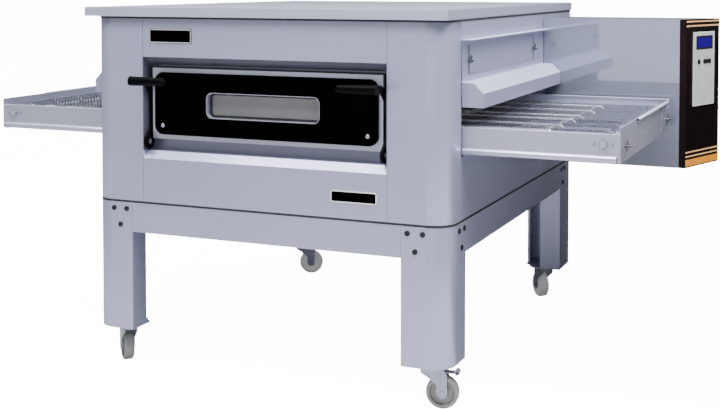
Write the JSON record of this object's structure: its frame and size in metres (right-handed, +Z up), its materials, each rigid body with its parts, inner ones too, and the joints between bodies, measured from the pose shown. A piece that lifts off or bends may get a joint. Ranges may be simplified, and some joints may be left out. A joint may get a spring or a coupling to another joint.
{
  "type": "conveyor pizza oven",
  "caption": "Floor-standing conveyor pizza oven on a wheeled stand: wire belt through a heated tunnel, drop-down inspection door with window, adjustable end hoods and side control box.",
  "frame": {"origin": "bottom centre of the whole object's box", "axes": "+X to the right along the belt (towards the control box), +Y from the door front to the back, +Z up"},
  "size_m": [2.319, 1.61, 1.19],
  "materials": {
    "stainless_panel": "satin",
    "stainless_top": "satin",
    "stainless_recess": "satin",
    "black_screws": "satin",
    "zinc_plated": "dull zinc plating",
    "nylon_wheel": "matte",
    "black_plastic": "matte",
    "chamber_steel": "matte",
    "mineral_wool": "matte",
    "heater_tube": "matte",
    "motor_casting": "cast",
    "conveyor_steel": "satin",
    "belt_wire": "satin",
    "door_steel": "satin",
    "black_enamel": "gloss",
    "window_glass": "gloss",
    "seal_black": "matte",
    "handle_black": "satin",
    "fascia_black": "gloss",
    "panel_grey": "satin",
    "display_blue": "gloss",
    "circuit_green": "satin"
  },
  "bodies": {
    "oven": {"front_legs": "stainless_panel", "rear_legs": "stainless_panel", "stand_rails": "stainless_panel", "leg_bolts": "black_screws", "caster_plates": "zinc_plated", "top_cover": "stainless_top", "front_posts": "stainless_panel", "front_panels": "stainless_panel", "door_surround": "stainless_recess", "side_panel_left": "stainless_panel", "side_panel_right": "stainless_panel", "rear_panel": "stainless_panel", "base_pan": "stainless_recess", "chamber_liner": "chamber_steel", "insulation": "mineral_wool", "jet_ducts": "chamber_steel", "heating_elements": "heater_tube", "fan_motor": "motor_casting", "conveyor_frame": "conveyor_steel", "belt_support_rack": "belt_wire", "conveyor_belt": "belt_wire", "shaft_bearings": "conveyor_steel", "end_plates": "conveyor_steel", "gear_motor": "motor_casting", "wing_studs": "zinc_plated", "wing_nuts": "zinc_plated", "control_enclosure": "stainless_panel", "control_fascia": "fascia_black", "control_panel": "panel_grey", "display": "display_blue", "control_board": "circuit_green", "name_plates": "black_enamel", "cable_gland": "black_plastic"},
    "door": {"door_frame": "door_steel", "door_panel": "black_enamel", "door_glass": "window_glass", "door_gasket": "seal_black", "door_arms": "handle_black", "door_grips": "handle_black"},
    "hood_left_body": {"hood_left": "stainless_panel"},
    "hood_right_body": {"hood_right": "stainless_panel"},
    "tray_left": {"crumb_tray_left": "conveyor_steel"},
    "tray_right": {"crumb_tray_right": "conveyor_steel"},
    "drive_roller": {"drive_shaft": "conveyor_steel"},
    "idler_roller": {"idler_shaft": "conveyor_steel"},
    "fan": {"fan_impeller": "chamber_steel"},
    "swivel_fl": {"caster_fork_fl": "zinc_plated"},
    "wheel_fl": {"caster_wheel_fl": "nylon_wheel"},
    "swivel_fr": {"caster_fork_fr": "zinc_plated"},
    "wheel_fr": {"caster_wheel_fr": "nylon_wheel"},
    "swivel_rl": {"caster_fork_rl": "zinc_plated"},
    "wheel_rl": {"caster_wheel_rl": "nylon_wheel"},
    "swivel_rr": {"caster_fork_rr": "zinc_plated"},
    "wheel_rr": {"caster_wheel_rr": "nylon_wheel"},
    "pedal_fr": {"brake_pedal_fr": "zinc_plated"},
    "pedal_rr": {"brake_pedal_rr": "zinc_plated"},
    "key_power": {"button_power": "black_plastic"},
    "key_down": {"button_down": "black_plastic"},
    "key_up": {"button_up": "black_plastic"},
    "key_set": {"button_set": "black_plastic"}
  },
  "joints": [
    {"name": "door_hinge", "type": "hinge", "parent": "oven", "child": "door", "pos_m": [-0.05849, -0.702, 0.757], "axis": [1, 0, 0], "range_deg": [0, 85]},
    {"name": "hood_left_slide", "type": "slide", "parent": "oven", "child": "hood_left_body", "axis": [0, 0, 1], "range_m": [-0.036, 0.035]},
    {"name": "tray_left_slide", "type": "slide", "parent": "oven", "child": "tray_left", "axis": [0, -1, 0], "range_m": [0, 0.5]},
    {"name": "hood_right_slide", "type": "slide", "parent": "oven", "child": "hood_right_body", "axis": [0, 0, 1], "range_m": [-0.036, 0.035]},
    {"name": "tray_right_slide", "type": "slide", "parent": "oven", "child": "tray_right", "axis": [0, -1, 0], "range_m": [0, 0.5]},
    {"name": "drive_turn", "type": "hinge", "parent": "oven", "child": "drive_roller", "pos_m": [0.97851, -0.716, 0.811], "axis": [0, 1, 0], "continuous": true},
    {"name": "idler_turn", "type": "hinge", "parent": "oven", "child": "idler_roller", "pos_m": [-1.09549, -0.716, 0.811], "axis": [0, 1, 0], "continuous": true},
    {"name": "fan_turn", "type": "hinge", "parent": "oven", "child": "fan", "pos_m": [-0.05849, 0.394, 0.866], "axis": [0, 1, 0], "continuous": true},
    {"name": "swivel_fl_turn", "type": "hinge", "parent": "oven", "child": "swivel_fl", "pos_m": [-0.59599, -0.636, 0.12], "axis": [0, 0, 1], "continuous": true},
    {"name": "wheel_fl_turn", "type": "hinge", "parent": "swivel_fl", "child": "wheel_fl", "pos_m": [-0.61933, -0.61267, 0.05], "axis": [-0.7071, -0.7071, 0], "continuous": true},
    {"name": "swivel_fr_turn", "type": "hinge", "parent": "oven", "child": "swivel_fr", "pos_m": [0.47901, -0.636, 0.12], "axis": [0, 0, 1], "continuous": true},
    {"name": "wheel_fr_turn", "type": "hinge", "parent": "swivel_fr", "child": "wheel_fr", "pos_m": [0.5115, -0.63027, 0.05], "axis": [-0.1736, 0.9848, 0], "continuous": true},
    {"name": "pedal_fr_press", "type": "hinge", "parent": "swivel_fr", "child": "pedal_fr", "pos_m": [0.5056, -0.63131, 0.11], "axis": [-0.1736, 0.9848, 0], "range_deg": [0, 15]},
    {"name": "swivel_rl_turn", "type": "hinge", "parent": "oven", "child": "swivel_rl", "pos_m": [-0.59599, 0.699, 0.12], "axis": [0, 0, 1], "continuous": true},
    {"name": "wheel_rl_turn", "type": "hinge", "parent": "swivel_rl", "child": "wheel_rl", "pos_m": [-0.56498, 0.71029, 0.05], "axis": [-0.342, 0.9397, 0], "continuous": true},
    {"name": "swivel_rr_turn", "type": "hinge", "parent": "oven", "child": "swivel_rr", "pos_m": [0.47901, 0.699, 0.12], "axis": [0, 0, 1], "continuous": true},
    {"name": "wheel_rr_turn", "type": "hinge", "parent": "swivel_rr", "child": "wheel_rr", "pos_m": [0.45779, 0.72428, 0.05], "axis": [-0.766, -0.6428, 0], "continuous": true},
    {"name": "pedal_rr_press", "type": "hinge", "parent": "swivel_rr", "child": "pedal_rr", "pos_m": [0.46165, 0.71968, 0.11], "axis": [-0.766, -0.6428, 0], "range_deg": [0, 15]},
    {"name": "key_power_press", "type": "slide", "parent": "oven", "child": "key_power", "axis": [-0.9426, 0.3338, 0], "range_m": [0, 0.0015], "stiffness_N_per_m": 300, "springref_m": -0.002},
    {"name": "key_down_press", "type": "slide", "parent": "oven", "child": "key_down", "axis": [-0.9426, 0.3338, 0], "range_m": [0, 0.0015], "stiffness_N_per_m": 300, "springref_m": -0.002},
    {"name": "key_up_press", "type": "slide", "parent": "oven", "child": "key_up", "axis": [-0.9426, 0.3338, 0], "range_m": [0, 0.0015], "stiffness_N_per_m": 300, "springref_m": -0.002},
    {"name": "key_set_press", "type": "slide", "parent": "oven", "child": "key_set", "axis": [-0.9426, 0.3338, 0], "range_m": [0, 0.0015], "stiffness_N_per_m": 300, "springref_m": -0.002}
  ],
  "couplings": [
    {"joint": "idler_turn", "follows": "drive_turn", "ratio": 1}
  ]
}
